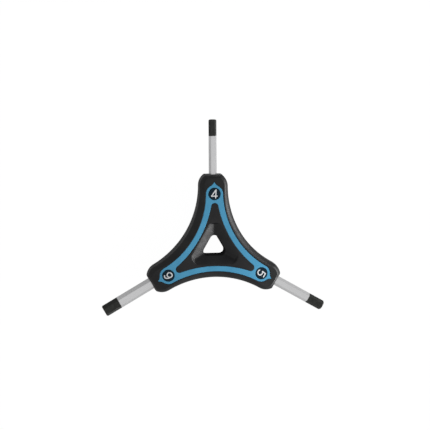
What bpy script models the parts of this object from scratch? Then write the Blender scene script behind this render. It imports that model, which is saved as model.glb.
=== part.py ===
"""Three-way hex wrench: three hex keys held in a Y-shaped handle moulded in two shots.

A hard core grips the keys, a soft grip is moulded round it, and a coloured ring with three size
badges is let into the front. Every piece is modelled about the hub, the middle of the handle,
with +Z up and the 4 mm key along +Y. The hub is then set so that the tool lies on its back with
its footprint centred on the origin. Lengths are in metres.
"""

import math

import bmesh
import bpy
from mathutils import Matrix, Vector

# Handle
HANDLE_THICKNESS = 0.017      # at the hub
ARM_END_THICKNESS = 0.0115    # both faces fall away towards the arms' ends
FLAT_REACH = 0.015            # hub to where the faces begin to fall
ARM_REACH = 0.0422            # hub to the flat end of each arm
ARM_WIDTH = 0.0167
STRAIGHT_LENGTH = 0.0007      # of each arm's side, between its hollow and its shoulder
SHOULDER_LENGTH = 0.0067
SHOULDER_RADIUS = 0.0083
END_CORNER_RADIUS = 0.0014
FLANK_WIDTH = 0.0031          # of the sloping edge round each face, seen from the front
FLANK_HEIGHT = 0.0034
END_FLANK_WIDTH = 0.0019      # of the same edge at the arms' ends

# Grip and core
GRIP_WALL = 0.0024
GRIP_END_WALL = 0.0024
LIP_THICKNESS = 0.0012        # of the grip where it laps over the core
CORE_BEVEL = 0.0008
GROOVE_DEPTH = 0.0009         # round the core, where the grip locks on
GROOVE_WIDTH = 0.0030
GROOVE_SLOPE = 0.0005
SEAT_GAP = 0.0003             # between pieces that seat on each other

# Ring and size badges
RING_THICKNESS = 0.0012
RING_SIDE_MARGIN = 0.0040     # handle's waist to the ring
RING_BAND = 0.0029            # width of the ring at its waist
EYE_SETBACK = 0.0107          # arm's end to the middle of the badge
BADGE_RADIUS = 0.0033
BADGE_THICKNESS = 0.0012
EYE_BORDER = 0.00135          # of the ring round the outer half of each badge
POINT_LENGTH = 0.0069         # middle of the badge to the ring's point
POINT_SPREAD = math.radians(28)
WINDOW_SETBACK = 0.0015       # of the ring between each badge and the window
WINDOW_END_RADIUS = 0.0022

# Dish and hanging hole
DISH_MARGIN = 0.0014          # ring's window to the rim of the dish
DISH_CORNER_RADIUS = 0.0040
DISH_DEPTH = 0.0036
DISH_SECTION_SHARES = ((0.10, 0.06), (0.30, 0.25), (0.62, 0.58), (1, 1))   # inwards, then down
HOLE_INRADIUS = 0.0048
HOLE_CORNER_RADIUS = 0.0026
COLLAR_WIDTH = 0.0009         # of the core round the dish, on the back

# Keys: name, size across flats and direction
KEYS = (
    ("4mm", 0.004, math.radians(90)),
    ("6mm", 0.006, math.radians(210)),
    ("5mm", 0.005, math.radians(330)),
)
KEY_REACH = 0.074             # hub to the tips
KEY_ROOT_WALL = 0.0052        # hole's corner to the keys' inner ends
KEY_EDGE_RADIUS = 0.00025
NECK_SETBACK = 0.0045         # key's inner end to the neck that holds it
NECK_LENGTH = 0.0030
NECK_DEPTH = 0.00045          # below the flats
NECK_SLOPE = 0.0005
TIP_FACE_SHARE = 0.94         # of the size across flats, inside the tip's chamfer

# How finely round forms are divided
SIDE_SEGMENTS = 8
SHOULDER_SEGMENTS = 5
CORNER_SEGMENTS = 3
FLANK_SEGMENTS = 5
FLANK_FULLNESS = 1.3          # 1 is a plain slope and 2 is a quarter ellipse
LOBE_SEGMENTS = 6
POINT_SEGMENTS = 3
TRIANGLE_SEGMENTS = 10
ROUND_SEGMENTS = 36
KEY_EDGE_SEGMENTS = 2
HEX_SIDES = 6
SHARP_ANGLE = math.radians(35)

OVERRUN = 0.001               # how far every cutter runs past what it cuts
LEAST_CORNER = 0.0001         # radius left where a corner is drawn in past its own
WELD_DISTANCE = 0.000001

HALF_THICKNESS = HANDLE_THICKNESS / 2
HALF_WIDTH = ARM_WIDTH / 2
ARM_ANGLES = [angle for _, _, angle in KEYS]
HALF_TURN = math.pi / len(KEYS)   # from an arm to the middle of the side beside it
SHOULDER_START = ARM_REACH - SHOULDER_LENGTH
SIDE_CENTRE = (SHOULDER_START - STRAIGHT_LENGTH) / math.cos(HALF_TURN)
SIDE_RADIUS = SIDE_CENTRE * math.sin(HALF_TURN) - HALF_WIDTH
WAIST = SIDE_CENTRE - SIDE_RADIUS
FALL_SHARE = 1 - ARM_END_THICKNESS / HANDLE_THICKNESS
CORE_HALF_HEIGHT = HALF_THICKNESS - LIP_THICKNESS - SEAT_GAP
EYE_REACH = ARM_REACH - EYE_SETBACK
EYE_RADIUS = BADGE_RADIUS + SEAT_GAP
LOBE_RADIUS = EYE_RADIUS + EYE_BORDER
RING_WAIST = WAIST - RING_SIDE_MARGIN
WINDOW_WAIST = RING_WAIST - RING_BAND
WINDOW_REACH = EYE_REACH - EYE_RADIUS - WINDOW_SETBACK
DISH_INRADIUS = WINDOW_WAIST - DISH_MARGIN
HOLE_CORNER_REACH = (HOLE_INRADIUS - HOLE_CORNER_RADIUS) / math.cos(HALF_TURN) + HOLE_CORNER_RADIUS
KEY_ROOT = HOLE_CORNER_REACH + KEY_ROOT_WALL
KEY_LENGTH = KEY_REACH - KEY_ROOT

FINISHES = {
    "grip": ((0.022, 0.022, 0.023), 0.62, 0.0),
    "core": ((0.016, 0.016, 0.018), 0.34, 0.0),
    "ring": ((0.065, 0.28, 0.47), 0.42, 0.0),
    "badge": ((0.008, 0.012, 0.022), 0.40, 0.0),
    "key": ((0.56, 0.56, 0.56), 0.30, 1.0),
}


def clear_scene():
    for old in list(bpy.data.objects):
        bpy.data.objects.remove(old)


def new_collection(name):
    collection = bpy.data.collections.new(name)
    bpy.context.scene.collection.children.link(collection)
    return collection


def finish(piece, name):
    """Gives the piece its own material: colour, roughness and metallic."""
    colour, roughness, metallic = FINISHES[name]
    made = bpy.data.materials.new(piece.name)
    made.use_nodes = True
    shader = made.node_tree.nodes["Principled BSDF"]
    shader.inputs["Base Color"].default_value = (*colour, 1)
    shader.inputs["Roughness"].default_value = roughness
    shader.inputs["Metallic"].default_value = metallic
    piece.data.materials.append(made)


def combine(piece, other, operation):
    modifier = piece.modifiers.new(other.name, "BOOLEAN")
    modifier.operation = operation
    modifier.solver = "EXACT"
    modifier.object = other


def fallen(point, height):
    """A point of the handle at a height over its middle plane, lowered as the faces fall away."""
    share = max(0, (point.length - FLAT_REACH) / (ARM_REACH - FLAT_REACH))
    return Vector((*point, height * (1 - FALL_SHARE * share ** 2)))


def arc(centre, radius, start, end, segments):
    """Points from the start angle to the end angle, both included."""
    angles = (start + (end - start) * step / segments for step in range(segments + 1))
    return [centre + radius * Vector((math.cos(angle), math.sin(angle))) for angle in angles]


def all_round(half_arm):
    """The whole outline from the +Y half of an arm along +X, given from its waist to its end."""
    mirrored = [Vector((point.x, -point.y)) for point in half_arm]
    on_axis = half_arm[-1].y < WELD_DISTANCE
    returning = half_arm[::-1][1:-1] if on_axis else half_arm[::-1][:-1]
    turns = [Matrix.Rotation(angle, 2) for angle in ARM_ANGLES]
    return [turn @ point for turn in turns for point in mirrored + returning]


def handle_outline(inset, end_inset):
    """The handle from the front, drawn in at its sides and ends: hollow sides and round shoulders."""
    side_centre = SIDE_CENTRE * Vector((math.cos(HALF_TURN), math.sin(HALF_TURN)))
    shoulder_centre = Vector((SHOULDER_START, HALF_WIDTH - SHOULDER_RADIUS))
    shoulder_radius = SHOULDER_RADIUS - inset
    corner_radius = max(END_CORNER_RADIUS - inset, LEAST_CORNER)
    along = ARM_REACH - end_inset - corner_radius - SHOULDER_START
    across = math.sqrt((shoulder_radius - corner_radius) ** 2 - along ** 2)
    corner_centre = shoulder_centre + Vector((along, across))
    meeting = math.atan2(across, along)
    half_arm = arc(side_centre, SIDE_RADIUS + inset, math.pi + HALF_TURN, math.pi * 3 / 2, SIDE_SEGMENTS)
    half_arm += arc(shoulder_centre, shoulder_radius, math.pi / 2, meeting, SHOULDER_SEGMENTS)
    half_arm += arc(corner_centre, corner_radius, meeting, 0, CORNER_SEGMENTS)[1:]
    return all_round(half_arm)


def side_arc(waist, tip_centre, tip_radius):
    """The hollow arc past the waist that touches a circle on the arm: centre, radius and angle there."""
    reach = waist - tip_radius
    centre_reach = (tip_centre ** 2 - reach ** 2) / (2 * (tip_centre * math.cos(HALF_TURN) - reach))
    centre = centre_reach * Vector((math.cos(HALF_TURN), math.sin(HALF_TURN)))
    to_tip = Vector((tip_centre, 0)) - centre
    return centre, centre_reach - waist, math.atan2(to_tip.y, to_tip.x) % (2 * math.pi)


def ring_outline(outset):
    """The ring's outside: hollow sides, a round lobe at each badge and a short point beyond it."""
    lobe_centre = Vector((EYE_REACH, 0))
    centre, radius, turn = side_arc(RING_WAIST, EYE_REACH, LOBE_RADIUS)
    slant = POINT_LENGTH * math.cos(POINT_SPREAD)
    flank_radius = (POINT_LENGTH ** 2 + LOBE_RADIUS ** 2) / 2 - slant * LOBE_RADIUS
    flank_radius /= slant - LOBE_RADIUS
    outwards = Vector((math.cos(POINT_SPREAD), math.sin(POINT_SPREAD)))
    flank_centre = lobe_centre + (LOBE_RADIUS + flank_radius) * outwards
    flank_radius -= outset
    point = Vector((flank_centre.x - math.sqrt(flank_radius ** 2 - flank_centre.y ** 2), 0))
    to_point = point - flank_centre
    flank_end = math.atan2(to_point.y, to_point.x) % (2 * math.pi)
    half_arm = arc(centre, radius - outset, math.pi + HALF_TURN, turn, SIDE_SEGMENTS)
    half_arm += arc(lobe_centre, LOBE_RADIUS + outset, turn - math.pi, POINT_SPREAD, LOBE_SEGMENTS)[1:]
    half_arm += arc(flank_centre, flank_radius, math.pi + POINT_SPREAD, flank_end, POINT_SEGMENTS)[1:]
    return all_round(half_arm)


def window_outline(inset):
    """The ring's window: hollow sides and round ends."""
    end_centre = WINDOW_REACH - WINDOW_END_RADIUS
    centre, radius, turn = side_arc(WINDOW_WAIST, end_centre, WINDOW_END_RADIUS)
    half_arm = arc(centre, radius + inset, math.pi + HALF_TURN, turn, SIDE_SEGMENTS)
    end_arc = arc(Vector((end_centre, 0)), WINDOW_END_RADIUS - inset, turn - math.pi, 0, LOBE_SEGMENTS)
    return all_round(half_arm + end_arc[1:])


def rounded_triangle(inradius, corner_radius):
    """A triangle whose round corners point along the arms."""
    reach = (inradius - corner_radius) / math.cos(HALF_TURN)
    outline = []
    for angle in ARM_ANGLES:
        centre = reach * Vector((math.cos(angle), math.sin(angle)))
        outline += arc(centre, corner_radius, angle - HALF_TURN, angle + HALF_TURN, TRIANGLE_SEGMENTS)
    return outline


def finished(name, shape, collection):
    """An object of the modelled shape, smooth but for its sharp edges."""
    mesh = bpy.data.meshes.new(name)
    shape.to_mesh(mesh)
    shape.free()
    mesh.shade_smooth()
    mesh.set_sharp_from_angle(angle=SHARP_ANGLE)
    made = bpy.data.objects.new(name, mesh)
    collection.objects.link(made)
    return made


def cap(shape, rim, facing_up):
    """Closes an arm-shaped rim with strips across each arm, so that the face can fall away along it."""
    size = len(rim) // len(ARM_ANGLES)
    strips = [rim[::size]]
    for start in range(0, len(rim), size):
        for step in range(size // 2):
            near, far = start + step, start + size - step
            strip = (rim[near], rim[near + 1], rim[far - 1], rim[far % len(rim)])
            strips.append(list(dict.fromkeys(strip)))
    for strip in strips:
        shape.faces.new(strip if facing_up else strip[::-1])


def loft(name, sections, collection):
    """A closed solid through (outline, height) sections of the handle, from the lowest up."""
    shape = bmesh.new()
    rims = [[shape.verts.new(fallen(point, height)) for point in outline] for outline, height in sections]
    for lower, upper in zip(rims, rims[1:]):
        for index, corner in enumerate(lower):
            shape.faces.new((lower[index - 1], corner, upper[index], upper[index - 1]))
    cap(shape, rims[0], facing_up=False)
    cap(shape, rims[-1], facing_up=True)
    bmesh.ops.triangulate(shape, faces=shape.faces)
    return finished(name, shape, collection)


def plate(name, outlines, bottom, top, collection):
    """A flat outline with holes, as a filled curve with an extrusion, then laid to the fall of the face."""
    curve = bpy.data.curves.new(name, "CURVE")
    curve.dimensions = "2D"
    curve.fill_mode = "BOTH"
    curve.extrude = (top - bottom) / 2
    for outline in outlines:
        spline = curve.splines.new("POLY")
        spline.points.add(len(outline) - 1)
        spline.use_cyclic_u = True
        for place, point in zip(spline.points, outline):
            place.co = (*point, 0, 1)
    drawn = bpy.data.objects.new(name + "_outline", curve)
    collection.objects.link(drawn)
    bpy.context.view_layer.update()
    graph = bpy.context.evaluated_depsgraph_get()
    flat = bpy.data.meshes.new_from_object(drawn.evaluated_get(graph))
    bpy.data.objects.remove(drawn)
    shape = bmesh.new()
    shape.from_mesh(flat)
    bpy.data.meshes.remove(flat)
    bmesh.ops.remove_doubles(shape, verts=shape.verts, dist=WELD_DISTANCE)
    bmesh.ops.recalc_face_normals(shape, faces=shape.faces)
    for corner in shape.verts:
        corner.co = fallen(corner.co.xy, corner.co.z + (top + bottom) / 2)
    return finished(name, shape, collection)


def handle_blank(collection):
    """The handle's outside, with a full, sloping edge round both faces."""
    rising = []
    for step in range(FLANK_SEGMENTS + 1):
        turn = math.pi / 2 * step / FLANK_SEGMENTS
        inwards = 1 - math.cos(turn) ** (2 / FLANK_FULLNESS)
        upwards = math.sin(turn) ** (2 / FLANK_FULLNESS)
        outline = handle_outline(FLANK_WIDTH * inwards, END_FLANK_WIDTH * inwards)
        rising.append((outline, HALF_THICKNESS - FLANK_HEIGHT * (1 - upwards)))
    falling = [(outline, -height) for outline, height in reversed(rising)]
    return loft("grip", falling + rising, collection)


def core_slab(name, outset, collection):
    """The core's hub and arms, with the groove round them that the grip locks into."""
    half_groove = GROOVE_WIDTH / 2 - outset
    top = CORE_HALF_HEIGHT + outset
    floor = handle_outline(GRIP_WALL + GROOVE_DEPTH - outset, GRIP_END_WALL + GROOVE_DEPTH - outset)
    side = handle_outline(GRIP_WALL - outset, GRIP_END_WALL - outset)
    bevel = handle_outline(GRIP_WALL + CORE_BEVEL - outset, GRIP_END_WALL + CORE_BEVEL - outset)
    rising = [(floor, half_groove - GROOVE_SLOPE), (side, half_groove)]
    rising += [(side, top - CORE_BEVEL), (bevel, top)]
    falling = [(outline, -height) for outline, height in reversed(rising)]
    return loft(name, falling + rising, collection)


def dished_hole(collection):
    """The hanging hole, with a dish that leads into it from each face, as one cutter."""
    inwards, down = DISH_SECTION_SHARES[0]
    rise = OVERRUN / DISH_DEPTH
    rising = []
    for inwards, down in (*reversed(DISH_SECTION_SHARES), (-inwards * rise / down, -rise)):
        inradius = DISH_INRADIUS + (HOLE_INRADIUS - DISH_INRADIUS) * inwards
        corner = DISH_CORNER_RADIUS + (HOLE_CORNER_RADIUS - DISH_CORNER_RADIUS) * inwards
        rising.append((rounded_triangle(inradius, corner), HALF_THICKNESS - DISH_DEPTH * down))
    falling = [(outline, -height) for outline, height in reversed(rising)]
    return loft("hanging_hole", falling + rising, collection)


def prism(name, outline, bottom, top, collection):
    return loft(name, [(outline, bottom), (outline, top)], collection)


def turned_form(name, across_flats, clearance, collection):
    """What turning leaves of a key, along +Z from its inner end: chamfered ends and a neck."""
    flat = across_flats / 2 + clearance
    plain = flat / math.cos(math.pi / HEX_SIDES) + OVERRUN
    face = flat * TIP_FACE_SHARE
    floor = flat - NECK_DEPTH
    steep = (plain - floor) * NECK_SLOPE / NECK_DEPTH
    top = KEY_LENGTH + clearance
    neck_top = NECK_SETBACK + NECK_LENGTH - clearance
    neck_bottom = NECK_SETBACK + clearance
    profile = [
        (0, top), (face, top), (plain, top - plain + face),
        (plain, neck_top + steep), (floor, neck_top), (floor, neck_bottom), (plain, neck_bottom - steep),
        (plain, plain - face - clearance), (face, -clearance), (0, -clearance),
    ]
    mesh = bpy.data.meshes.new(name)
    edges = [(index, index + 1) for index in range(len(profile) - 1)]
    mesh.from_pydata([(radius, 0, height) for radius, height in profile], edges, [])
    made = bpy.data.objects.new(name, mesh)
    collection.objects.link(made)
    screw = made.modifiers.new("turning", "SCREW")
    screw.steps = ROUND_SEGMENTS
    screw.render_steps = ROUND_SEGMENTS
    screw.use_merge_vertices = True
    screw.merge_threshold = WELD_DISTANCE
    return made


def hex_bar(name, across_flats, angle, clearance, collection, cutters):
    """A key laid along its arm with a flat upwards, or with a clearance the room it takes."""
    corner = (across_flats / 2 + clearance) / math.cos(math.pi / HEX_SIDES)
    shape = bmesh.new()
    bmesh.ops.create_cone(
        shape, cap_ends=True, segments=HEX_SIDES, radius1=corner, radius2=corner,
        depth=KEY_LENGTH + 2 * (clearance + OVERRUN), matrix=Matrix.Translation((0, 0, KEY_LENGTH / 2)),
    )
    bar = finished(name, shape, collection)
    laid = Matrix.Translation((KEY_ROOT, 0, 0)) @ Matrix.Rotation(math.pi / 2, 4, "Y")
    bar.matrix_basis = Matrix.Rotation(angle, 4, "Z") @ laid
    if not clearance:
        rounding = bar.modifiers.new("rounded_edges", "BEVEL")
        rounding.width = KEY_EDGE_RADIUS
        rounding.segments = KEY_EDGE_SEGMENTS
    turned = turned_form(name + "_turned", across_flats, clearance, cutters)
    turned.parent = bar
    combine(bar, turned, "INTERSECT")
    return bar


def eye_centre(angle):
    return EYE_REACH * Vector((math.cos(angle), math.sin(angle)))


def model_grip(sockets, parts, cutters):
    """The soft grip, with room for the keys and the core and an opening in each face."""
    grip = handle_blank(parts)
    past = HALF_THICKNESS + OVERRUN
    for socket in sockets:
        combine(grip, socket, "DIFFERENCE")
    combine(grip, core_slab("core_room", SEAT_GAP, cutters), "DIFFERENCE")
    combine(grip, prism("front_opening", ring_outline(SEAT_GAP), 0, past, cutters), "DIFFERENCE")
    combine(grip, prism("back_opening", collar_outline(SEAT_GAP), -past, 0, cutters), "DIFFERENCE")
    return grip


def collar_outline(outset):
    widening = COLLAR_WIDTH + outset
    return rounded_triangle(DISH_INRADIUS + widening, DISH_CORNER_RADIUS + widening)


def model_core(sockets, parts, cutters):
    """The hard core, flush with both faces inside the ring and round the back dish."""
    core = core_slab("core", 0, parts)
    combine(core, prism("front_island", window_outline(SEAT_GAP), 0, HALF_THICKNESS, cutters), "UNION")
    combine(core, prism("back_collar", collar_outline(0), -HALF_THICKNESS, 0, cutters), "UNION")
    combine(core, dished_hole(cutters), "DIFFERENCE")
    for socket in sockets:
        combine(core, socket, "DIFFERENCE")
    return core


def model_ring(parts):
    """The coloured ring, with its window and an eye for each badge."""
    eyes = [
        arc(eye_centre(angle), EYE_RADIUS, 0, 2 * math.pi, ROUND_SEGMENTS)[:-1] for angle in ARM_ANGLES
    ]
    outlines = [ring_outline(0), window_outline(0), *eyes]
    return plate("ring", outlines, HALF_THICKNESS - RING_THICKNESS, HALF_THICKNESS, parts)


def model_badge(name, angle, parts):
    """A round badge in its eye, laid to the fall of the face."""
    shape = bmesh.new()
    middle = HALF_THICKNESS - BADGE_THICKNESS / 2
    bmesh.ops.create_cone(
        shape, cap_ends=True, segments=ROUND_SEGMENTS, radius1=BADGE_RADIUS, radius2=BADGE_RADIUS,
        depth=BADGE_THICKNESS, matrix=Matrix.Translation((*eye_centre(angle), middle)),
    )
    for corner in shape.verts:
        corner.co = fallen(corner.co.xy, corner.co.z)
    return finished(name, shape, parts)


def hub_place():
    """Where the hub stands, with the tool on its back and the keys' tips centred on the origin."""
    lows = Vector((0, 0))
    highs = Vector((0, 0))
    for _, across_flats, angle in KEYS:
        half_width = across_flats / 2 / math.cos(math.pi / HEX_SIDES)
        along = Vector((math.cos(angle), math.sin(angle)))
        spread = half_width * Vector((abs(along.y), abs(along.x)))
        tip = KEY_REACH * along
        lows = Vector(map(min, lows, tip - spread))
        highs = Vector(map(max, highs, tip + spread))
    return Vector((*(-(lows + highs) / 2), HALF_THICKNESS))


def build():
    clear_scene()
    parts = new_collection("y_hex_wrench")
    cutters = new_collection("cutters")
    hub = bpy.data.objects.new("hub", None)
    parts.objects.link(hub)
    hub.location = hub_place()

    sockets = []
    for size, across_flats, angle in KEYS:
        finish(hex_bar("key_" + size, across_flats, angle, 0, parts, cutters), "key")
        finish(model_badge("badge_" + size, angle, parts), "badge")
        sockets.append(hex_bar("socket_" + size, across_flats, angle, SEAT_GAP, cutters, cutters))
    finish(model_grip(sockets, parts, cutters), "grip")
    finish(model_core(sockets, parts, cutters), "core")
    finish(model_ring(parts), "ring")

    for cutter in cutters.objects:
        cutter.hide_render = True
        cutter.display_type = "WIRE"
    for piece in (*parts.objects, *cutters.objects):
        if piece is not hub and piece.parent is None:
            piece.parent = hub


build()
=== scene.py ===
"""The looks of a three-way hex wrench: black moulded handle, blue ring, size badges and satin keys.

Every piece is worked out in millimetres about the hub, the middle of the handle, with the 4 mm key
along +Y and the front facing +Z. It is then set down in metres where the solids have it.
"""
import math

import bmesh
import bpy
import numpy as np
from mathutils import Matrix, Vector


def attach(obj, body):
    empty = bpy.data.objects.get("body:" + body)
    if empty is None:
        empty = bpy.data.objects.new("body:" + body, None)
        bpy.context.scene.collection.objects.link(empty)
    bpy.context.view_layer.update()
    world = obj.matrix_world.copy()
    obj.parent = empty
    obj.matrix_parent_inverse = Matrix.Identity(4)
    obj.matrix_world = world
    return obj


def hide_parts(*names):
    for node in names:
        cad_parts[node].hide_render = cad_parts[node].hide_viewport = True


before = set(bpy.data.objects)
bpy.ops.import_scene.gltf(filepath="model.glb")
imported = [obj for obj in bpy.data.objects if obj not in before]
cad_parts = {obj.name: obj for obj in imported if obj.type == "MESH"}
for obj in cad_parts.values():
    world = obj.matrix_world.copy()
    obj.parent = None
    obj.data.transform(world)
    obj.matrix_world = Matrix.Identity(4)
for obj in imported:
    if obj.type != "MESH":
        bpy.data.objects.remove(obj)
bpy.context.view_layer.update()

SIXTH = math.pi / 3
ARMS = np.radians((90, 210, 330))

WELD = 0.000002              # metres

# Every length below is in millimetres
MM = 0.001
HUB = np.array((0.144, -17.0, 8.5))

# Handle
HALF_THICKNESS = 8.5
FALL_SHARE = 1 - 11.5 / 17   # share of the thickness that is gone at the arms' ends
FLAT_REACH = 15.0            # the faces are flat up to here and fall away beyond
ARM_REACH = 42.2
HALF_WIDTH = 8.35
STRAIGHT = 0.7               # of each arm's side, between its hollow and its shoulder
SHOULDER_LENGTH = 6.7
SHOULDER_RADIUS = 8.3
CORNER_RADIUS = 1.4          # at the arms' flat ends
LEAST_CORNER = 0.1           # left where a corner is drawn in past its own radius
FLANK_WIDTH = 2.2
WAIST_FLANK_EXTRA = 1.4      # the sloping flank is this much wider at the waists
END_FLANK_WIDTH = 1.7
FLANK_HEIGHT = 3.4
FLANK_POWER = 2 / 1.42       # 1 is a quarter of an ellipse, 2 a straight slope
DRAFT = 0.1                  # how far the side walls lean in from the parting line to the flank
PARTING_BULGE = 0.02         # how far the parting line stands out, half way up the sides

# Grip and core
SEAM = 0.15                  # how far grip and core keep back from the line between two pieces
EDGE = 0.16                  # rounding of a moulded edge
GRIP_WALL = 2.4
LIP = 1.45                   # thickness of the grip's lips round the ring and the collar
CORE_TOP = 7.0
CORE_TOP_GAP = 0.2           # between the core's flat top and the grip's inside
CORE_SIDE_GAP = 0.3
CORE_BEVEL = 0.8
COLLAR_WIDTH = 0.9           # of the core round the dish, on the back
HOLE = (4.8, 2.6)            # inradius and corner radius
VALLEY_WIDTH = 1.4           # rounding where two facets of a dish meet
DISH_RIM_SOFTNESS = 0.42
DISH_END_STEEPNESS = 2.0     # the short ends of a dish are this much steeper than its three facets

# Ring, badges and numerals
RING_MARGIN = 4.0            # handle's waist to the ring
RING_BAND = 2.9              # width of the ring at its waist
RING_DEPTH = 1.2
RING_CLOSER = 0.08           # how much closer than its outline the ring comes to the field inside it
RING_EDGE = 0.09
EYE_REACH = 31.5             # hub to the middle of each badge
EYE_RADIUS = 3.62
LOBE_RADIUS = 4.95           # of the ring's outside round each badge
POINT_LENGTH = 6.9           # middle of the badge to the ring's point
POINT_SPREAD = math.radians(28)      # off the arm's line, where the lobe turns into the point
WINDOW_SETBACK = 5.1         # middle of each badge to the window's end
WINDOW_END_RADIUS = 2.2
BADGE_RADIUS = 3.5
BADGE_TOP = HALF_THICKNESS - 0.06
NUMERAL_STROKE = 0.64
NUMERAL_LEAN = 0.08          # sideways shift per length upwards
INK_TOP, INK_FOOT = 0.045, -0.03     # faces of the print, from the badge's top

# Keys
KEY_REACH = 74.0             # hub to the tips
KEY_ROOT = 12.2              # hub to the inner ends
NECK_START, NECK_END, NECK_DEPTH, NECK_SLOPE = 4.5, 7.5, 0.45, 0.9     # from the root

SHOULDER_START = ARM_REACH - SHOULDER_LENGTH
SIDE_CENTRE = (SHOULDER_START - STRAIGHT) / math.cos(SIXTH)
SIDE_RADIUS = SIDE_CENTRE * math.sin(SIXTH) - HALF_WIDTH
WAIST = SIDE_CENTRE - SIDE_RADIUS
RING_WAIST = WAIST - RING_MARGIN
WINDOW_WAIST = RING_WAIST - RING_BAND
WINDOW_REACH = EYE_REACH - WINDOW_SETBACK
FRONT_DISH = (WINDOW_WAIST - 0.6, 5.2, 0.65)     # inradius and corner radius of the rim, slope
BACK_DISH = (WINDOW_WAIST - 1.4, 4.0, 0.88)


def on_circle(centre, radius, start, end, count):
    """The points centre + radius (cos a, sin a), for evenly spaced angles a from start to end."""
    turn = np.linspace(start, end, count)
    return np.asarray(centre, float) + radius * np.column_stack((np.cos(turn), np.sin(turn)))


def turned(points, angle):
    """Points of the plane turned about the hub: (x cos a - y sin a, x sin a + y cos a)."""
    return points @ np.array(((math.cos(angle), math.sin(angle)), (-math.sin(angle), math.cos(angle))))


def all_round(half_arm):
    """Half an arm, from its waist to its end on +X, mirrored in the X line and turned to the three arms."""
    arm = np.concatenate((half_arm * (1, -1), half_arm[::-1][1:-1]))
    return np.concatenate([turned(arm, angle) for angle in ARMS])


def handle_outline(inset, end_inset):
    """The handle from the front: a hollow arc, a round shoulder, a small corner and a flat end."""
    shoulder = np.array((SHOULDER_START, HALF_WIDTH - SHOULDER_RADIUS))
    corner = max(CORNER_RADIUS - inset, LEAST_CORNER)
    along = ARM_REACH - end_inset - corner - SHOULDER_START
    across = math.sqrt((SHOULDER_RADIUS - inset - corner) ** 2 - along ** 2)
    meeting = math.atan2(across, along)
    side_centre = SIDE_CENTRE * np.array((math.cos(SIXTH), math.sin(SIXTH)))
    side = on_circle(side_centre, SIDE_RADIUS + inset, math.pi + SIXTH, math.pi * 3 / 2, 44)
    round_over = on_circle(shoulder, SHOULDER_RADIUS - inset, math.pi / 2, meeting, 26)
    tight = on_circle(shoulder + (along, across), corner, meeting, 0, 9)[1:]
    flat = np.linspace(tight[-1], tight[-1] * (1, 0), 13)[1:]
    half_arm = np.concatenate((side, round_over, tight, flat))
    return all_round(half_arm)


def flank_outline(share):
    """The handle drawn in by a share of the flank, which is widest at the waists.

    Past the plain inset the points move in by e (1 - t)^2 (1 + 2 t), where t runs from 0 at the waist to 1
    at the arm's end.
    """
    outline = handle_outline(
        DRAFT + (FLANK_WIDTH - DRAFT) * share, DRAFT + (END_FLANK_WIDTH - DRAFT) * share,
    )
    along = np.clip((np.hypot(*outline.T) - WAIST) / (ARM_REACH - WAIST), 0, 1)[:, None]
    return drawn_in(outline, WAIST_FLANK_EXTRA * share * (1 - along) ** 2 * (1 + 2 * along))


def side_arc(waist, tip_reach, tip_radius):
    """A hollow arc past the waist that touches a circle on the arm: its centre, radius and last angle."""
    reach = waist - tip_radius
    far = (tip_reach ** 2 - reach ** 2) / (2 * (tip_reach * math.cos(SIXTH) - reach))
    centre = far * np.array((math.cos(SIXTH), math.sin(SIXTH)))
    return centre, far - waist, math.atan2(-centre[1], tip_reach - centre[0]) % (2 * math.pi)


def ring_outline():
    """The ring's outside: hollow sides, a round lobe at each badge and a short point beyond it."""
    centre, radius, turn = side_arc(RING_WAIST, EYE_REACH, LOBE_RADIUS)
    slant = POINT_LENGTH * math.cos(POINT_SPREAD)
    hollow = ((POINT_LENGTH ** 2 + LOBE_RADIUS ** 2) / 2 - slant * LOBE_RADIUS) / (slant - LOBE_RADIUS)
    outwards = np.array((math.cos(POINT_SPREAD), math.sin(POINT_SPREAD)))
    hollow_centre = (EYE_REACH, 0) + (LOBE_RADIUS + hollow) * outwards
    to_point = np.array((EYE_REACH + POINT_LENGTH, 0)) - hollow_centre
    last = math.atan2(to_point[1], to_point[0]) % (2 * math.pi)
    side = on_circle(centre, radius, math.pi + SIXTH, turn, 160)
    lobe = on_circle((EYE_REACH, 0), LOBE_RADIUS, turn - math.pi, POINT_SPREAD, 60)[1:]
    point = on_circle(hollow_centre, hollow, math.pi + POINT_SPREAD, last, 30)[1:]
    point[-1, 1] = 0
    return all_round(np.concatenate((side, lobe, point)))


def window_outline():
    """The ring's window: hollow sides and round ends."""
    end = WINDOW_REACH - WINDOW_END_RADIUS
    centre, radius, turn = side_arc(WINDOW_WAIST, end, WINDOW_END_RADIUS)
    side = on_circle(centre, radius, math.pi + SIXTH, turn, 160)
    tip = on_circle((end, 0), WINDOW_END_RADIUS, turn - math.pi, 0, 60)[1:]
    return all_round(np.concatenate((side, tip)))


def rounded_triangle(inradius, corner):
    """A triangle whose round corners point along the arms."""
    reach = (inradius - corner) / math.cos(SIXTH)
    corners = []
    for angle in ARMS:
        centre = reach * np.array((math.cos(angle), math.sin(angle)))
        corners.append(on_circle(centre, corner, angle - SIXTH, angle + SIXTH, 90))
        side = np.array((-math.sin(angle + SIXTH), math.cos(angle + SIXTH)))
        ahead = on_circle(centre, corner, angle + SIXTH, angle + SIXTH, 1)
        corners.append(ahead + np.linspace(0, 2 * reach * math.sin(SIXTH), 40)[1:-1, None] * side)
    return np.concatenate(corners)


def drawn_in(outline, distance):
    """Each point moved inwards, square to a closed outline: p - d (dy, -dx) / |(dx, dy)|."""
    along = np.roll(outline, -1, axis=0) - np.roll(outline, 1, axis=0)
    normal = np.column_stack((along[:, 1], -along[:, 0]))
    return outline - distance * normal / np.linalg.norm(normal, axis=1, keepdims=True)


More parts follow.
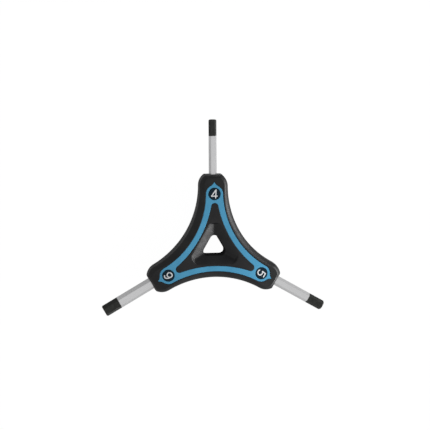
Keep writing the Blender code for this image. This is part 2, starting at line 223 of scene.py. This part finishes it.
def seen_at(outline, angles):
    """A star-shaped outline read in the given directions from the hub, between its own points."""
    own = np.arctan2(outline[:, 1], outline[:, 0])
    radius = np.interp(angles, own, np.hypot(*outline.T), period=2 * math.pi)
    return radius[:, None] * np.column_stack((np.cos(angles), np.sin(angles)))


def laid(outline, height):
    """Points at a height that falls away along the arms: h (1 - f s^2), s from 0 to 1 at the arms' ends."""
    share = np.clip((np.hypot(*outline.T) - FLAT_REACH) / (ARM_REACH - FLAT_REACH), 0, None)
    return np.column_stack((outline, height * (1 - FALL_SHARE * share ** 2)))


def between(inner, outer, count):
    """Outlines that pass evenly from one to the other, both included."""
    return [inner + (outer - inner) * share for share in np.linspace(0, 1, count)]


def edge_rows(outline, top, sign):
    """A rounded edge from the wall up to the face: in by r (1 - cos a) and up to h - r (1 - sin a)."""
    rows = []
    for turn in np.linspace(0, math.pi / 2, 4):
        shift = drawn_in(outline, sign * EDGE * (1 - math.cos(turn)))
        rows.append(laid(shift, top - math.copysign(EDGE * (1 - math.sin(turn)), top)))
    return rows


def new_piece(name, points, faces, finish, nodes=()):
    """A mesh of the points and faces, in metres about the hub's place, that rides on the one body."""
    mesh = bpy.data.meshes.new(name)
    points = ((np.asarray(points) + HUB) * MM).astype(np.float32)
    corners = faces.shape[1]
    mesh.vertices.add(len(points))
    mesh.vertices.foreach_set("co", points.ravel())
    mesh.loops.add(faces.size)
    mesh.loops.foreach_set("vertex_index", faces.astype(np.int32).ravel())
    mesh.polygons.add(len(faces))
    mesh.polygons.foreach_set("loop_start", np.arange(0, faces.size, corners, dtype=np.int32))
    mesh.update(calc_edges=True)
    mesh.validate()
    mesh.shade_smooth()
    mesh.materials.append(finish)
    made = bpy.data.objects.new(name, mesh)
    bpy.context.scene.collection.objects.link(made)
    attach(made, "root")
    for node in nodes:
        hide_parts(node)
    return made


def hoop_faces(rows, width, joined=True):
    """Quads between closed rows of points, facing out where rows run from the front's middle outwards."""
    index = np.arange(rows * width).reshape(rows, width)
    here = index if joined else index[:-1]
    there = np.roll(index, -1, axis=0)[:len(here)]
    quads = (here, there, np.roll(there, -1, axis=1), np.roll(here, -1, axis=1))
    return np.stack(quads, axis=-1).reshape(-1, 4)


def tyre(name, rows, finish, nodes):
    """A closed surface through rows of points, the last row joined to the first."""
    grid = np.array(rows)
    return new_piece(name, grid.reshape(-1, 3), hoop_faces(*grid.shape[:2]), finish, nodes)


def collar_outline(seam):
    """The line between core and grip on the back: the dish's rim, a collar's width further out."""
    return rounded_triangle(*(size + COLLAR_WIDTH + seam for size in BACK_DISH[:2]))


def make_grip(finish):
    """The soft outer moulding: a rim round the ring, full sloping flanks, the sides and the back.

    Over the flank's width w and height h a point is w (1 - cos(a)^p) in and h (1 - sin(a)^p) below the face.
    """
    rim = flank_outline(1)
    directions = np.arctan2(rim[:, 1], rim[:, 0])
    opening = seen_at(drawn_in(ring_outline(), -SEAM), directions)
    collar = seen_at(collar_outline(SEAM), directions)
    rows = [laid(opening, HALF_THICKNESS - LIP)]
    rows += edge_rows(opening, HALF_THICKNESS, -1)
    rows += [laid(row, HALF_THICKNESS) for row in between(drawn_in(opening, -EDGE), rim, 10)[1:-1]]
    flank = []
    for turn in np.linspace(math.pi / 2, 0, 22):
        inwards = 1 - max(math.cos(turn), 0) ** FLANK_POWER
        height = HALF_THICKNESS - FLANK_HEIGHT * (1 - math.sin(turn) ** FLANK_POWER)
        flank.append((flank_outline(inwards), height))
    low = HALF_THICKNESS - FLANK_HEIGHT
    walls = [
        (handle_outline(DRAFT * share, DRAFT * share), low * share) for share in (0.75, 0.5, 0.25, 0.06)
    ]
    rows += [laid(*pair) for pair in flank + walls]
    rows += [laid(handle_outline(-PARTING_BULGE, -PARTING_BULGE), 0)]
    rows += [laid(outline, -height) for outline, height in reversed(flank + walls)]
    rows += [laid(row, -HALF_THICKNESS) for row in between(rim, drawn_in(collar, -EDGE), 16)[1:-1]]
    rows += edge_rows(collar, -HALF_THICKNESS, -1)[::-1]
    rows += [laid(collar, -HALF_THICKNESS + LIP)]
    inner = handle_outline(GRIP_WALL, GRIP_WALL)
    rows += [laid(inner, -CORE_TOP - CORE_TOP_GAP), laid(inner, CORE_TOP + CORE_TOP_GAP)]
    tyre("grip_moulding", rows, finish, ["grip"])


def dish_depth(place, inradius, corner, slope):
    """How deep a dish lies at points of the plane.

    Three facets sink by the slope times the distance from the rim's nearest straight side. Where two of
    them meet, distances a < b become a - (w - (b - a))^2 / 4 w, a rounded valley of width w. At each end
    the distance from the rim's round corner is taken some times over. Last, the root of depth^2 + r^2, less
    r, rounds the rim.
    """
    outwards = np.column_stack((np.cos(ARMS + SIXTH), np.sin(ARMS + SIXTH)))
    sides = np.sort(inradius - place @ outwards.T, axis=-1)
    meeting = np.clip(VALLEY_WIDTH - (sides[..., 1] - sides[..., 0]), 0, None)
    facets = sides[..., 0] - meeting ** 2 / (4 * VALLEY_WIDTH)
    ends = sides[..., 0]
    for angle in ARMS:
        ahead, aside = (turned(place, -angle) - ((inradius - corner) / math.cos(SIXTH), 0)).T
        in_corner = np.abs(aside) < ahead * math.tan(SIXTH)
        ends = np.where(in_corner, corner - np.hypot(ahead, aside), ends)
    deep = slope * np.minimum(facets, DISH_END_STEEPNESS * ends).clip(0, None)
    return np.sqrt(deep ** 2 + DISH_RIM_SOFTNESS ** 2) - DISH_RIM_SOFTNESS


def dish_rows(sign, dish, directions):
    """A dish from its rim to the hole: outlines, closer at the rim, whose points lie as deep as it is."""
    rim = seen_at(rounded_triangle(*dish[:2]), directions)
    hole = seen_at(rounded_triangle(*HOLE), directions)
    rows = [rim + (hole - rim) * share for share in np.linspace(0, 1, 30) ** 1.3]
    return [laid(row, sign * (HALF_THICKNESS - dish_depth(row, *dish))) for row in rows]


def make_core(finish):
    """The hard middle: the field inside the ring, both dishes, the hole and the part held in the grip.

    It is read in directions from the hub, in degrees off each arm, that lie closest near the arm.
    """
    fine = np.concatenate((np.arange(0, 10, 0.22), np.arange(10, 60, 0.62), (60,)))
    directions = np.radians(np.concatenate((-fine[:0:-1], fine[:-1])))
    directions = np.concatenate([directions + angle for angle in ARMS])
    island = seen_at(drawn_in(window_outline(), SEAM), directions)
    rim = seen_at(rounded_triangle(*FRONT_DISH[:2]), directions)
    back_rim = seen_at(rounded_triangle(*BACK_DISH[:2]), directions)
    collar = seen_at(collar_outline(-SEAM), directions)
    bar, bevelled = (
        seen_at(handle_outline(inset, inset), directions)
        for inset in (GRIP_WALL + CORE_SIDE_GAP, GRIP_WALL + CORE_SIDE_GAP + CORE_BEVEL)
    )
    rows = dish_rows(1, FRONT_DISH, directions)[::-1]
    rows += [laid(row, HALF_THICKNESS) for row in between(rim, drawn_in(island, EDGE), 14)[1:-1]]
    rows += edge_rows(island, HALF_THICKNESS, 1)[::-1]
    rows += [laid(island, CORE_TOP), laid(bevelled, CORE_TOP), laid(bar, CORE_TOP - CORE_BEVEL)]
    rows += [laid(bar, -CORE_TOP + CORE_BEVEL), laid(bevelled, -CORE_TOP), laid(collar, -CORE_TOP)]
    rows += edge_rows(collar, -HALF_THICKNESS, 1)
    rows += [laid(row, -HALF_THICKNESS) for row in between(drawn_in(collar, EDGE), back_rim, 5)[1:-1]]
    rows += dish_rows(-1, BACK_DISH, directions)
    walls = list(rows[-1] + (rows[0] - rows[-1]) * np.linspace(0, 1, 10)[1:-1, None, None])
    core = tyre("core_moulding", rows + walls, finish, ["core"])
    # The hole's walls are marked so that the hard finish paints shade into them, as a near-black colour, and
    # makes them matt.
    in_hole = np.zeros((len(rows) + len(walls), len(directions)), np.float32)
    in_hole[-len(walls):] = 1
    core.data.attributes.new("in_hole", "FLOAT", "POINT").data.foreach_set("value", in_hole.ravel())


def make_ring(finish):
    """The blue ring: a sheet between window and outside with a round eye cut in each lobe, then thickened.

    Each direction from the hub is split where it meets an eye, at EYE_REACH cos a -/+ the root of
    EYE_RADIUS^2 - (EYE_REACH sin a)^2, so that the sheet opens round the eye.
    """
    widest = math.asin(EYE_RADIUS / EYE_REACH)
    over_eye = widest * np.sin(np.linspace(-math.pi / 2, math.pi / 2, 61))
    beside = widest + (SIXTH - widest) * np.linspace(0, 1, 121)[1:] ** 1.5
    spread = np.concatenate((-beside[::-1][1:], over_eye, beside))
    directions = np.concatenate([spread + angle for angle in ARMS])
    inner = np.hypot(*seen_at(drawn_in(window_outline(), RING_CLOSER), directions).T)
    outer = np.hypot(*seen_at(ring_outline(), directions).T)
    spread = np.tile(spread, len(ARMS))
    reach = np.minimum(np.abs(spread), widest)
    half_chord = np.sqrt(np.clip(EYE_RADIUS ** 2 - (EYE_REACH * np.sin(reach)) ** 2, 0, None))
    middle = EYE_REACH * np.cos(reach)
    edge = np.argmin(np.abs(np.abs(spread) - widest))
    share = (middle[edge] - inner[edge]) / (outer[edge] - inner[edge])
    middle = np.where(np.abs(spread) < widest - 1e-9, middle, inner + (outer - inner) * share)
    shares = np.linspace(0, 1, 9)[:, None]
    near = inner + (middle - half_chord - inner) * shares
    far = (middle + half_chord) + (outer - middle - half_chord) * shares
    grid = np.concatenate((near, far))
    flat = np.stack((grid * np.cos(directions), grid * np.sin(directions)), axis=-1)
    points = np.concatenate([laid(row, HALF_THICKNESS) for row in flat])
    quads = hoop_faces(len(shares), len(directions), joined=False)
    quads = np.concatenate((quads, quads + near.size))
    ring = new_piece("ring_inlay", points, quads, finish, ["ring"])
    shape = bmesh.new()
    shape.from_mesh(ring.data)
    bmesh.ops.remove_doubles(shape, verts=shape.verts, dist=WELD)
    bmesh.ops.dissolve_degenerate(shape, edges=shape.edges, dist=WELD)
    shape.to_mesh(ring.data)
    shape.free()
    thick = ring.modifiers.new("thickness", "SOLIDIFY")
    thick.thickness = RING_DEPTH * MM
    thick.offset = -1
    rounding = ring.modifiers.new("soft_edge", "BEVEL")
    rounding.width = RING_EDGE * MM
    rounding.segments = 2
    rounding.limit_method = "ANGLE"
    rounding.angle_limit = math.radians(50)


def make_badge(size, angle, finish):
    """A round badge: rows from its middle to its edge, over a rounded rim and down to a flat underside."""
    turn = np.linspace(0, 2 * math.pi, 96, endpoint=False)
    circle = np.column_stack((np.cos(turn), np.sin(turn)))
    centre = EYE_REACH * np.array((math.cos(angle), math.sin(angle)))
    profile = [(share * (BADGE_RADIUS - EDGE), BADGE_TOP) for share in (0.02, 0.2, 0.4, 0.6, 0.8, 1)]
    profile += [
        (BADGE_RADIUS - EDGE * (1 - math.sin(a)), BADGE_TOP - EDGE * (1 - math.cos(a)))
        for a in np.linspace(0, math.pi / 2, 5)[1:]
    ]
    profile += [(radius, HALF_THICKNESS - RING_DEPTH) for radius in (BADGE_RADIUS, 0.02 * BADGE_RADIUS)]
    rows = [laid(centre + radius * circle, height) for radius, height in profile]
    tyre("badge_" + size + "_disc", rows, finish, ["badge_" + size])


def make_key(size, across_flats, angle, black_length, face_share, finish):
    """A hex bar: in each direction a about its axis the lesser of the hexagon's reach and the turned form.

    The hexagon reaches flat / cos(a), with a from the middle of a flat. The turned form has a chamfer at
    either end and a neck near the inner one. Rows of points lie closest there and towards the tip.
    """
    flat = across_flats / 2
    turn = np.linspace(0, 2 * math.pi, 144, endpoint=False)
    off_flat = np.abs((turn + math.pi / 6) % (math.pi / 3) - math.pi / 6)
    hexagon = flat / np.cos(off_flat)
    length = KEY_REACH - KEY_ROOT
    face = flat * face_share
    clear = flat / math.cos(math.pi / 6) + 0.3
    neck = flat - NECK_DEPTH
    profile = np.array((
        (0, face), (clear - face, clear),
        (NECK_START - NECK_SLOPE, clear), (NECK_START, neck),
        (NECK_END, neck), (NECK_END + NECK_SLOPE, clear),
        (length - (clear - face), clear), (length, face),
    ))
    fine = np.concatenate((
        np.linspace(0, 1, 5), np.linspace(NECK_START - 1.1, NECK_END + 1.1, 14),
        np.linspace(10, length - 3, 40),
        length - 3 + 3 * np.linspace(0, 1, 30)[1:] ** 0.5,
    ))
    limit = np.interp(fine, profile[:, 0], profile[:, 1])
    radius = np.minimum(hexagon, limit[:, None])
    fine = np.concatenate(((0, 0), fine, (length, length)))
    root, tip = ([end * 0.02, end * 0.6] for end in (radius[0], radius[-1]))
    radius = np.concatenate((root, radius, tip[::-1]))
    along = np.repeat(KEY_ROOT + fine, len(turn)).reshape(radius.shape)
    across = radius * np.sin(turn)
    up = radius * np.cos(turn)
    points = np.stack((along * math.cos(angle) - across * math.sin(angle),
                       along * math.sin(angle) + across * math.cos(angle), up), axis=-1)
    rows, width = radius.shape
    faces = hoop_faces(rows, width, joined=False)[:, ::-1]
    made = new_piece("key_" + size + "_bar", points.reshape(-1, 3), faces, finish, ["key_" + size])
    shape = bmesh.new()
    shape.from_mesh(made.data)
    shape.verts.ensure_lookup_table()
    shape.faces.new(shape.verts[:width])
    shape.faces.new(shape.verts[(rows - 1) * width:][::-1])
    bmesh.ops.recalc_face_normals(shape, faces=shape.faces)
    shape.to_mesh(made.data)
    shape.free()
    made.data.shade_smooth()
    made.data.set_sharp_from_angle(angle=math.radians(28))
    past = (along - (KEY_REACH - black_length)).ravel().astype(np.float32)
    made.data.attributes.new("past_line", "FLOAT", "POINT").data.foreach_set("value", past)
    lay = np.stack((along / 10, np.broadcast_to(turn, along.shape), 0 * along), axis=-1)
    lay = lay.ravel().astype(np.float32)
    made.data.attributes.new("lay", "FLOAT_VECTOR", "POINT").data.foreach_set("vector", lay)


def ribbon(path, width):
    """Both sides of a stroke: path +/- half the width times the mitre (n1 + n2) / (1 + n1.n2)."""
    step = np.diff(path, axis=0)
    normal = np.column_stack((-step[:, 1], step[:, 0])) / np.linalg.norm(step, axis=1, keepdims=True)
    before = np.concatenate((normal[:1], normal))
    after = np.concatenate((normal, normal[-1:]))
    mitre = (before + after) / (1 + (before * after).sum(axis=1, keepdims=True))
    return path + mitre * width / 2, path - mitre * width / 2


def numeral_strokes(size):
    """The middles of a numeral's strokes, as points about its own middle."""
    if size == "4mm":
        return [
            np.array(((0.82, 2.50), (0.82, -2.55))),
            np.array(((0.90, 2.50), (-1.70, -1.28))),
            np.array(((-1.94, -1.28), (1.84, -1.28))),
        ]
    if size == "5mm":
        bowl = on_circle((0, 0), 1, math.radians(138), math.radians(-146), 28) * (1.48, 1.42) + (0, -0.86)
        return [np.concatenate((((1.38, 2.20), (-1.05, 2.20), (-1.28, 0.33)), bowl))]
    rise = on_circle((0, 0), 1, math.radians(44), math.pi, 20) * (1.46, 2.00) + (0.02, 0.28)
    loop = on_circle((0, 0), 1, math.pi, 3 * math.pi, 36) * (1.44, 1.40) + (0, -0.82)
    return [np.concatenate((rise, loop))]


def make_numeral(size, angle, finish):
    """The size numeral printed on its badge, upright with its top outwards along the arm."""
    lean = np.array(((1, 0), (NUMERAL_LEAN, 1)))
    points, faces, first = [], [], 0
    for stroke in numeral_strokes(size):
        left, right = ribbon(stroke, NUMERAL_STROKE)
        for side, height in ((left, INK_TOP), (right, INK_TOP), (right, INK_FOOT), (left, INK_FOOT)):
            flat = side @ lean
            place = turned(np.column_stack((EYE_REACH + flat[:, 1], -flat[:, 0])), angle)
            points.append(laid(place, BADGE_TOP) + (0, 0, height))
        count = len(left)
        index = first + np.arange(4 * count).reshape(4, count)
        there = np.roll(index, -1, axis=0)
        sides = np.stack((index[:, :-1], index[:, 1:], there[:, 1:], there[:, :-1]), axis=-1)
        faces.append(sides.reshape(-1, 4))
        faces.append(np.array((index[::-1, 0], index[:, -1])))
        first += 4 * count
    made = new_piece("numeral_" + size, np.concatenate(points), np.concatenate(faces), finish)
    shape = bmesh.new()
    shape.from_mesh(made.data)
    bmesh.ops.recalc_face_normals(shape, faces=shape.faces)
    shape.to_mesh(made.data)
    shape.free()
    made.data.set_sharp_from_angle(angle=math.radians(30))


class Finish:
    """A material made of shader nodes, read in the object's own coordinates."""

    def __init__(self, name, colour, roughness, metallic=0.0, specular=0.5):
        self.material = bpy.data.materials.new(name)
        self.material.use_nodes = True
        self.tree = self.material.node_tree
        self.shader = self.tree.nodes["Principled BSDF"]
        self.shader.inputs["Base Color"].default_value = (*colour, 1)
        self.shader.inputs["Roughness"].default_value = roughness
        self.shader.inputs["Metallic"].default_value = metallic
        self.shader.inputs["Specular IOR Level"].default_value = specular
        self.place = self.tree.nodes.new("ShaderNodeTexCoord").outputs["Object"]

    def link(self, start, end):
        self.tree.links.new(start, end)

    def node(self, kind, **settings):
        made = self.tree.nodes.new(kind)
        for name, value in settings.items():
            setattr(made, name, value)
        return made

    def noise(self, grain, detail, rough=0.5):
        """Noise whose features are about the given length in millimetres."""
        made = self.node("ShaderNodeTexNoise")
        made.inputs["Scale"].default_value = 1 / (grain * MM)
        made.inputs["Detail"].default_value = detail
        made.inputs["Roughness"].default_value = rough
        self.link(self.place, made.inputs["Vector"])
        return made.outputs["Fac"]

    def ramp(self, value, low, high, start, end):
        """The value from low to high, carried to start to end."""
        made = self.node("ShaderNodeMapRange")
        for name, number in (("From Min", low), ("From Max", high), ("To Min", start), ("To Max", end)):
            made.inputs[name].default_value = number
        self.link(value, made.inputs["Value"])
        return made.outputs["Result"]

    def clouds(self, grain, detail, low, high, rough=0.5):
        """Noise whose middle part is carried to low to high, for a surface that varies softly."""
        return self.ramp(self.noise(grain, detail, rough), 0.3, 0.7, low, high)

    def matt(self, share, value, where):
        """The roughness: a value, and another number where the share is 1."""
        made = self.node("ShaderNodeMix")
        self.link(share, made.inputs[0])
        self.link(value, made.inputs[2])
        made.inputs[3].default_value = where
        self.link(made.outputs[0], self.shader.inputs["Roughness"])

    def blend(self, share, first, second):
        """Two colours mixed by a share; each may be a colour or a socket."""
        made = self.node("ShaderNodeMix", data_type="RGBA")
        self.link(share, made.inputs[0])
        for socket, colour in ((made.inputs[6], first), (made.inputs[7], second)):
            if isinstance(colour, tuple):
                socket.default_value = (*colour, 1)
            else:
                self.link(colour, socket)
        return made.outputs[2]

    def bump(self, height, strength, depth, under=None):
        """Relief of the given depth in millimetres."""
        made = self.node("ShaderNodeBump")
        made.inputs["Strength"].default_value = strength
        made.inputs["Distance"].default_value = depth * MM
        self.link(height, made.inputs["Height"])
        if under:
            self.link(under, made.inputs["Normal"])
        self.link(made.outputs["Normal"], self.shader.inputs["Normal"])
        return made.outputs["Normal"]


def soft_black():
    """Soft moulding: matt spark-eroded grain, a faint mottle and paler rubbed spots."""
    made = Finish("soft_black_moulding", (0.008, 0.008, 0.009), 0.5, specular=0.34)
    spread = made.ramp(made.noise(9, 4), 0.35, 0.65, 0, 1)
    mottle = made.blend(spread, (0.005, 0.005, 0.006), (0.0125, 0.0125, 0.013))
    rubbed = made.ramp(made.noise(1.6, 6, 0.7), 0.62, 0.8, 0, 0.35)
    made.link(made.blend(rubbed, mottle, (0.022, 0.022, 0.022)), made.shader.inputs["Base Color"])
    made.link(made.clouds(5, 5, 0.40, 0.52, 0.6), made.shader.inputs["Roughness"])
    grain = made.bump(made.noise(0.22, 2), 0.35, 0.02)
    grain = made.bump(made.noise(0.9, 3, 0.6), 0.5, 0.035, grain)
    made.bump(made.noise(2.4, 3), 0.2, 0.05, grain)
    return made.material


def hard_black():
    """Hard moulding: a finer grain and a closer sheen, with faint flow marks, and matt walls in the hole
    painted near black as painted shade.
    """
    made = Finish("hard_black_moulding", (0.007, 0.007, 0.008), 0.42, specular=0.36)
    spread = made.ramp(made.noise(7, 4), 0.35, 0.65, 0, 1)
    mottle = made.blend(spread, (0.006, 0.006, 0.007), (0.0105, 0.0105, 0.0115))
    in_hole = made.node("ShaderNodeAttribute", attribute_name="in_hole").outputs["Fac"]
    # Painted shade: the hole's walls get a near-black colour, darker than the rest of the moulding.
    made.link(made.blend(in_hole, mottle, (0.0015, 0.0015, 0.002)), made.shader.inputs["Base Color"])
    made.matt(in_hole, made.clouds(4, 5, 0.40, 0.52, 0.6), 0.95)
    grain = made.bump(made.noise(0.15, 2), 0.3, 0.012)
    grain = made.bump(made.noise(0.8, 2), 0.3, 0.02, grain)
    made.bump(made.noise(3.5, 3), 0.15, 0.05, grain)
    return made.material


def ring_blue():
    """Satin blue: slight cloudiness, fine specks and a light eggshell relief."""
    made = Finish("satin_blue", (0.062, 0.311, 0.520), 0.45, specular=0.45)
    cloud = made.blend(made.clouds(6, 4, 0, 1), (0.056, 0.295, 0.498), (0.068, 0.331, 0.548))
    specks = made.ramp(made.noise(0.4, 2), 0.66, 0.8, 0, 0.3)
    made.link(made.blend(specks, cloud, (0.048, 0.242, 0.418)), made.shader.inputs["Base Color"])
    made.link(made.clouds(2.5, 4, 0.4, 0.52), made.shader.inputs["Roughness"])
    made.bump(made.noise(0.35, 2), 0.25, 0.012)
    return made.material


def badge_dark():
    """Blue-black badge lacquer, a little smoother than the ring."""
    made = Finish("blue_black_lacquer", (0.004, 0.017, 0.029), 0.38, specular=0.15)
    cloud = made.blend(made.clouds(3, 4, 0, 1), (0.003, 0.0145, 0.025), (0.0055, 0.0195, 0.033))
    made.link(cloud, made.shader.inputs["Base Color"])
    made.link(made.clouds(1.5, 4, 0.34, 0.46), made.shader.inputs["Roughness"])
    made.bump(made.noise(0.3, 2), 0.2, 0.01)
    return made.material


def numeral_white():
    """White printing ink: slightly uneven cover."""
    made = Finish("white_ink", (0.78, 0.79, 0.8), 0.5)
    thin = made.ramp(made.noise(0.35, 3), 0.3, 0.75, 0, 1)
    cover = made.blend(thin, (0.80, 0.81, 0.82), (0.66, 0.68, 0.70))
    made.link(cover, made.shader.inputs["Base Color"])
    made.link(made.clouds(0.8, 3, 0.45, 0.6), made.shader.inputs["Roughness"])
    made.bump(made.noise(0.2, 2), 0.2, 0.01)
    return made.material


def key_steel():
    """Satin chrome with fine drawing lines along the bar, and black past a ragged line at the tip."""
    made = Finish("satin_chrome_and_black", (0.7, 0.7, 0.7), 0.3, metallic=1.0)
    lay = made.node("ShaderNodeAttribute", attribute_name="lay").outputs["Vector"]
    past = made.node("ShaderNodeAttribute", attribute_name="past_line").outputs["Fac"]
    stretch = made.node("ShaderNodeMapping")
    stretch.inputs["Scale"].default_value = (0.25, 9.0, 1.0)
    made.link(lay, stretch.inputs["Vector"])
    lines = made.node("ShaderNodeTexNoise")
    lines.inputs["Scale"].default_value = 3.0
    lines.inputs["Detail"].default_value = 6.0
    made.link(stretch.outputs["Vector"], lines.inputs["Vector"])
    lines = lines.outputs["Fac"]
    ragged = made.node("ShaderNodeMath", operation="ADD")
    made.link(past, ragged.inputs[0])
    made.link(made.clouds(0.7, 4, -0.12, 0.12), ragged.inputs[1])
    black = made.ramp(ragged.outputs["Value"], -0.1, 0.12, 0, 1)
    bright = made.blend(made.ramp(lines, 0.3, 0.7, 0, 1), (0.885, 0.885, 0.895), (0.975, 0.975, 0.985))
    worn = made.ramp(made.noise(1.4, 5, 0.65), 0.42, 0.74, 0, 0.6)
    dark = made.blend(worn, (0.0115, 0.0125, 0.0108), (0.045, 0.046, 0.0415))
    made.link(made.blend(black, bright, dark), made.shader.inputs["Base Color"])
    made.link(made.ramp(black, 0, 1, 1, 0.35), made.shader.inputs["Metallic"])
    made.matt(black, made.ramp(lines, 0.3, 0.7, 0.23, 0.33), 0.5)
    drawn = made.bump(lines, 0.25, 0.01)
    made.bump(made.noise(1.8, 3), 0.12, 0.04, drawn)
    return made.material


def weighted_sum(tree, start, terms):
    """The start plus weight times value, for each value and weight, as a chain of math nodes."""
    total = None
    for value, weight in terms:
        part = tree.nodes.new("ShaderNodeMath")
        part.operation = "MULTIPLY_ADD"
        tree.links.new(value, part.inputs[0])
        part.inputs[1].default_value = weight
        part.inputs[2].default_value = start
        if total:
            tree.links.new(total, part.inputs[2])
        total = part.outputs["Value"]
    return total


def white_floor():
    """A grey floor for light and shadow that shows white to the camera and, in part, to mirrors."""
    half, level = 4, -0.0002
    floor = bpy.data.meshes.new("floor")
    corners = [(x * half, y * half, level) for x, y in ((-1, -1), (1, -1), (1, 1), (-1, 1))]
    floor.from_pydata(corners, [], [(0, 1, 2, 3)])
    floor = bpy.data.objects.new("floor", floor)
    bpy.context.scene.collection.objects.link(floor)
    material = bpy.data.materials.new("white_floor")
    material.use_nodes = True
    tree = material.node_tree
    tree.nodes.clear()
    path = tree.nodes.new("ShaderNodeLightPath").outputs
    white_share = weighted_sum(tree, 0, (
        (path["Is Camera Ray"], 0.93), (path["Is Glossy Ray"], 0.15), (path["Is Transmission Ray"], 0.9),
    ))
    grey = tree.nodes.new("ShaderNodeBsdfDiffuse")
    grey.inputs["Color"].default_value = (0.43, 0.43, 0.43, 1)
    white = tree.nodes.new("ShaderNodeEmission")
    white.inputs["Strength"].default_value = 1.06
    mixed = tree.nodes.new("ShaderNodeMixShader")
    tree.links.new(white_share, mixed.inputs["Fac"])
    tree.links.new(grey.outputs["BSDF"], mixed.inputs[1])
    tree.links.new(white.outputs["Emission"], mixed.inputs[2])
    output = tree.nodes.new("ShaderNodeOutputMaterial")
    tree.links.new(mixed.outputs["Shader"], output.inputs["Surface"])
    floor.data.materials.append(material)


def surround():
    """A world of strength 0.57 - 0.255 max(0, y) - 0.085 x: darker beyond and a little on the right."""
    world = bpy.data.worlds.new("surround")
    bpy.context.scene.world = world
    world.use_nodes = True
    tree = world.node_tree
    direction = tree.nodes.new("ShaderNodeSeparateXYZ")
    tree.links.new(tree.nodes.new("ShaderNodeTexCoord").outputs["Generated"], direction.inputs[0])
    far_side = tree.nodes.new("ShaderNodeMath")
    far_side.operation = "MAXIMUM"
    tree.links.new(direction.outputs["Y"], far_side.inputs[0])
    far_side.inputs[1].default_value = 0
    level = weighted_sum(tree, 0.57, ((far_side.outputs["Value"], -0.255), (direction.outputs["X"], -0.085)))
    tree.nodes["Background"].inputs["Color"].default_value = (1, 1, 1, 1)
    tree.links.new(level, tree.nodes["Background"].inputs["Strength"])


def softbox():
    """One low soft box on the right, with its place from the hub and its size in metres."""
    place, size, radiance = Vector((0.885, -0.16, 0.21)), (1.3, 0.39), 10.4
    lamp = bpy.data.lights.new("right_softbox", "AREA")
    lamp.shape = "RECTANGLE"
    lamp.size, lamp.size_y = size
    lamp.energy = radiance * math.pi * size[0] * size[1]
    made = bpy.data.objects.new("right_softbox", lamp)
    bpy.context.scene.collection.objects.link(made)
    made.location = Vector(HUB * MM) + place
    made.rotation_euler = place.to_track_quat("Z", "Y").to_euler()


def camera():
    """The photograph's view: tilted 11 degrees to the upper left, from two metres, the hub off the middle."""
    tilt, towards, roll = (math.radians(angle) for angle in (11.126, 130.484, 0.354))
    distance, pixels_per_mm, picture, hub_pixel = 2000.0, 1.715, 430, (213.181, 245.815)
    back = Vector((math.sin(tilt) * math.cos(towards), math.sin(tilt) * math.sin(towards), math.cos(tilt)))
    up = (Vector((0, 1, 0)) - back * back.y).normalized()
    right = up.cross(back)
    right, up = (
        math.cos(roll) * right - math.sin(roll) * up,
        math.sin(roll) * right + math.cos(roll) * up,
    )
    middle = right * (picture / 2 - hub_pixel[0]) / pixels_per_mm
    middle += up * (hub_pixel[1] - picture / 2) / pixels_per_mm
    eye = back * distance
    back = (eye - middle).normalized()
    right = up.cross(back).normalized()
    up = back.cross(right)
    made = bpy.data.cameras.new("camera")
    made.sensor_width = 36
    made.lens = made.sensor_width * distance / (picture / pixels_per_mm)
    made.clip_start = 0.05
    made.clip_end = 20
    view = bpy.data.objects.new("camera", made)
    bpy.context.scene.collection.objects.link(view)
    turn = Matrix((right, up, back)).transposed().to_4x4()
    view.matrix_world = Matrix.Translation(Vector(HUB * MM) + eye * MM) @ turn
    bpy.context.scene.camera = view


bpy.context.scene.view_settings.view_transform = "Standard"
make_grip(soft_black())
make_core(hard_black())
make_ring(ring_blue())
badge_finish = badge_dark()
ink = numeral_white()
steel = key_steel()
for size, across_flats, angle, black_length, face_share in (
    ("4mm", 4.0, ARMS[0], 9.4, 0.93),
    ("6mm", 6.0, ARMS[1], 10.1, 0.94),
    ("5mm", 5.0, ARMS[2], 9.85, 0.87),
):
    make_badge(size, angle, badge_finish)
    make_numeral(size, angle, ink)
    make_key(size, across_flats, angle, black_length, face_share, steel)
white_floor()
surround()
softbox()
camera()
